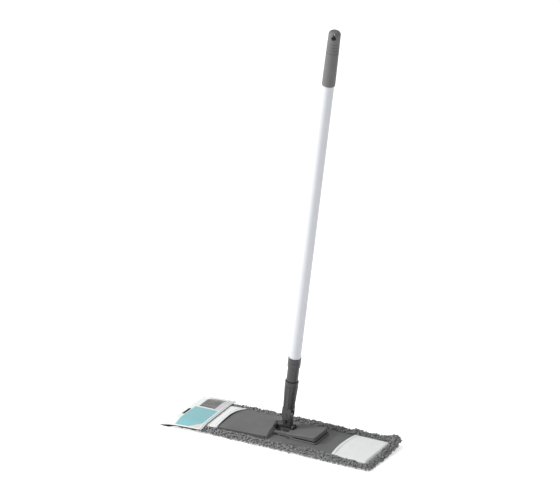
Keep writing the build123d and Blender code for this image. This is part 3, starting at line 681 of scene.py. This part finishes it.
def pile(name, spots, seed, size=1.0):
    """One piece with a loop of yarn at each spot, kept between the card's two panels and above the floor."""
    draw = random.Random(seed)
    vertices, faces, shades = [], [], []
    for point, normal in spots:
        points, shape, shape_shades = draw.choice(LOOP_SHAPES)
        tilt = Vector((draw.gauss(0, 0.28), draw.gauss(0, 0.28), draw.gauss(0, 0.2)))
        direction = (normal + tilt).normalized()
        spin = Matrix.Rotation(draw.uniform(0, 6.28), 3, "Z").to_quaternion()
        turn = direction.to_track_quat("Z", "Y") @ spin
        scale = size * draw.uniform(0.85, 1.15)
        tone = draw.uniform(0.6, 1.0)
        first = len(vertices)
        vertices += [point + turn @ (p * scale) for p in points]
        # Each loop's painted shade, times its random tone.
        shades += [max(shade * tone, 0) for shade in shape_shades]
        faces += [tuple(first + i for i in face) for face in shape]
    for vertex in vertices:
        ceiling = card_height(vertex.x, vertex.y) - 1.3 * MM
        over_leaf = vertex.x < LEAF_START + LEAF_LENGTH + 1 * MM
        ground = LEAF_CLEAR if over_leaf else 0.05 * MM
        vertex.z = max(min(vertex.z, ceiling), ground)
    piece = new_piece(name, vertices, faces, fibre)
    set_shade(piece, shades)
    return piece


def on_border(point, normal):
    return edge_distance(point.x, point.y) < 12 * MM and normal.z > -0.7


def on_sole(point, normal):
    return normal.z < -0.5 and edge_distance(point.x, point.y) > 2 * MM


border_spots = scatter(pad, LOOP_SPACING, on_border, 11)
sole_spots = scatter(pad, 4.6 * MM, on_sole, 12)
FOLD_ZONE = 30 * MM
zones = {
    "left": lambda p: p.x < FOLD_X - FOLD_ZONE,
    "fold": lambda p: abs(p.x - FOLD_X) <= FOLD_ZONE,
    "right": lambda p: p.x > FOLD_X + FOLD_ZONE,
}
loop_pieces = []
for number, (zone, inside) in enumerate(zones.items()):
    for side, here in (("front", lambda p: p.y < 0), ("back", lambda p: p.y >= 0)):
        spots = [spot for spot in border_spots if inside(spot[0]) and here(spot[0])]
        loop_pieces.append((zone, pile("border_loops_" + zone + "_" + side, spots, 20 + number)))
    spots = [spot for spot in sole_spots if inside(spot[0])]
    loop_pieces.append((zone, pile("sole_loops_" + zone, spots, 40 + number, 0.8)))
for zone, piece in loop_pieces:
    if zone == "fold":
        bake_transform(piece)
    else:
        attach(piece, "left_wing" if zone == "left" else "frame")
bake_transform(pad)
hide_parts("pad_left", "pad_right", "fringe_left", "fringe_right")

# ---------------------------------------------------------------- pockets


def pocket(name, node, mouth_at, floor_height):
    """A cloth pocket over a wing's end: a turned hem at its mouth, and sides tucked down beside the plate."""
    low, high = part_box(node)
    end = high.x + 3 * MM if high.x > 0 else low.x
    columns, rows = 50, 56
    half = high.y + 2.5 * MM
    vertices = []
    for i in range(columns + 1):
        for j in range(rows + 1):
            s, t = i / columns, 2 * j / rows - 1
            y = half * t
            mouth = mouth_at(y)
            x = mouth + (end - mouth) * s
            hem = smooth_step(s, 0.0, 0.02) * (1 - smooth_step(s, 0.085, 0.1))
            height = floor_height(x, y) + 0.5 * MM * hem
            height += 0.35 * MM * wander((x, y, 0), 17 * MM, 5) * min(1, 4 * (1 - abs(t)))
            height -= 3.2 * MM * smooth_step(abs(y), 44.5 * MM, half)
            height -= 3.2 * MM * smooth_step(abs(x), abs(end) - 4 * MM, abs(end))
            vertices.append((x, y, height))
    faces = []
    for i in range(columns):
        for j in range(rows):
            a = i * (rows + 1) + j
            face = (a, a + 1, a + rows + 2, a + rows + 1)
            faces.append(face[::-1] if end > 0 else face)
    piece = new_piece(name, vertices, faces, pocket_cloth)
    thicken = piece.modifiers.new("thickness", "SOLIDIFY")
    thicken.thickness = 0.5 * MM
    thicken.offset = 0
    apply_modifiers(piece)
    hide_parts(node)
    abs(end - mouth_at(0))
    return piece


def stitches(name, along, body):
    """A line of short thread stitches through points along the cloth."""
    vertices, faces = [], []
    for start, stop in along:
        axis = (stop - start).normalized()
        side = axis.cross(UP).normalized()
        over = side.cross(axis)
        first = len(vertices)
        for t in (0, 0.15, 0.5, 0.85, 1):
            centre = start.lerp(stop, t) + over * 0.35 * MM * math.sin(math.pi * t)
            radius = 0.28 * MM * (0.35 + 0.65 * math.sin(math.pi * t) ** 0.5)
            for k in range(6):
                angle = math.pi * k / 3
                vertices.append(centre + (side * math.cos(angle) + over * math.sin(angle)) * radius)
        for ring in range(4):
            for k in range(6):
                a = first + 6 * ring + k
                b = first + 6 * ring + (k + 1) % 6
                faces.append((a, b, b + 6, a + 6))
        faces.append(tuple(first + k for k in range(6))[::-1])
        faces.append(tuple(first + 24 + k for k in range(6)))
    piece = new_piece(name, vertices, faces, white_thread)
    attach(piece, body)
    return piece


plate_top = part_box("right_pocket")[0].z
COVER_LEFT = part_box("left_cover")[0].x
COVER_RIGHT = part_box("left_cover")[1].x
PLATE_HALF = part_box("left_plate")[1].y
RIGHT_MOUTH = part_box("right_pocket")[0].x


def right_mouth(y):
    """The right pocket's mouth bows towards the middle of the head."""
    return RIGHT_MOUTH - 5 * MM * (1 - (y / PLATE_HALF) ** 2)


def left_mouth(y):
    """The left pocket's mouth curves in over the cover at the back."""
    return COVER_LEFT - 1 * MM + 12 * MM * max(y / PLATE_HALF, 0) ** 2.2


def right_height(x, y):
    return plate_top + 0.55 * MM


def cover_surface(x, y):
    """The left cover's height, from its low end to its high one."""
    along = (x - COVER_LEFT) / (COVER_RIGHT - COVER_LEFT)
    side = (11.3 + 4.0 * along) * MM
    crown = (13.5 + 8.1 * along) * MM
    return side + (crown - side) * max(1 - (y / PLATE_HALF) ** 2, 0)


def left_height(x, y):
    """The left pocket climbs onto the cover's low end at its mouth, and stands a little proud of it."""
    flat = plate_top + 0.55 * MM
    near = smooth_step(x, COVER_LEFT - 18 * MM, COVER_LEFT - 1 * MM)
    on_cover = cover_surface(max(x, COVER_LEFT), y) + (0.7 + 1.3 * max(1 - (y / PLATE_HALF) ** 2, 0)) * MM
    return flat + (on_cover - flat) * near


right_cloth = pocket("right_pocket_cloth", "right_pocket", right_mouth, right_height)
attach(right_cloth, "frame")
left_cloth = pocket("left_pocket_cloth", "left_pocket", left_mouth, left_height)
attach(left_cloth, "left_wing")


def hem_line(mouth_at, height_at, inset):
    """Start and end of each stitch, across the head, beside a pocket's mouth."""
    pitch, count = 3.0 * MM, 29
    spans = []
    for k in range(count):
        ends = []
        for part in (0.12, 0.88):
            y = (k + part - count / 2) * pitch
            x = mouth_at(y) + inset
            ends.append(Vector((x, y, height_at(x, y) + 0.8 * MM)))
        spans.append(tuple(ends))
    return spans


stitches("right_hem_stitches", hem_line(right_mouth, right_height, 5.5 * MM), "frame")
stitches("left_hem_stitches", hem_line(left_mouth, left_height, -6 * MM), "left_wing")

# ---------------------------------------------------------------- floor, light and camera


def studio():
    floor = new_piece("floor", [(-25, -25, 0), (25, -25, 0), (25, 25, 0), (-25, 25, 0)], [(0, 1, 2, 3)])
    floor_finish = Shader("floor_finish", (0.9, 0.9, 0.9), 0.9)
    floor_finish.set("Emission Color", (1, 1, 1, 1))
    floor_finish.set("Emission Strength", 0.5)
    floor.data.materials.append(floor_finish.material)
    floor.location.z = -0.3 * MM
    world = bpy.data.worlds.new("studio")
    world.use_nodes = True
    world.node_tree.nodes["Background"].inputs["Color"].default_value = (1, 1, 1, 1)
    world.node_tree.nodes["Background"].inputs["Strength"].default_value = 0.52
    bpy.context.scene.world = world
    for name, place, size, power in (
        ("key", (-1.9, -1.2, 1.5), 0.7, 52),
        ("top", (-0.4, -0.6, 2.6), 1.4, 26),
    ):
        light = bpy.data.lights.new(name, "AREA")
        light.size = size
        light.energy = power
        lamp = bpy.data.objects.new(name, light)
        bpy.context.scene.collection.objects.link(lamp)
        lamp.location = place
        lamp.rotation_euler = (Vector((0, 0, 0.15)) - Vector(place)).to_track_quat("-Z", "Y").to_euler()


def camera():
    right = Vector((math.cos(CAMERA_AZIMUTH), math.sin(CAMERA_AZIMUTH), 0))
    back = Vector((math.sin(CAMERA_AZIMUTH) * math.cos(CAMERA_ELEVATION),
                   -math.cos(CAMERA_AZIMUTH) * math.cos(CAMERA_ELEVATION), math.sin(CAMERA_ELEVATION)))
    up = back.cross(right)
    aim = right * AIM_RIGHT + up * AIM_UP
    data = bpy.data.cameras.new("camera")
    data.lens = CAMERA_LENS
    data.sensor_width = 36
    data.clip_end = 100
    view = bpy.data.objects.new("camera", data)
    bpy.context.scene.collection.objects.link(view)
    view.matrix_world = Matrix.Translation(aim + back * CAMERA_DISTANCE) @ Matrix(
        (right, up, back)).transposed().to_4x4()
    bpy.context.scene.camera = view


studio()
camera()
bpy.context.scene.view_settings.view_transform = "Standard"
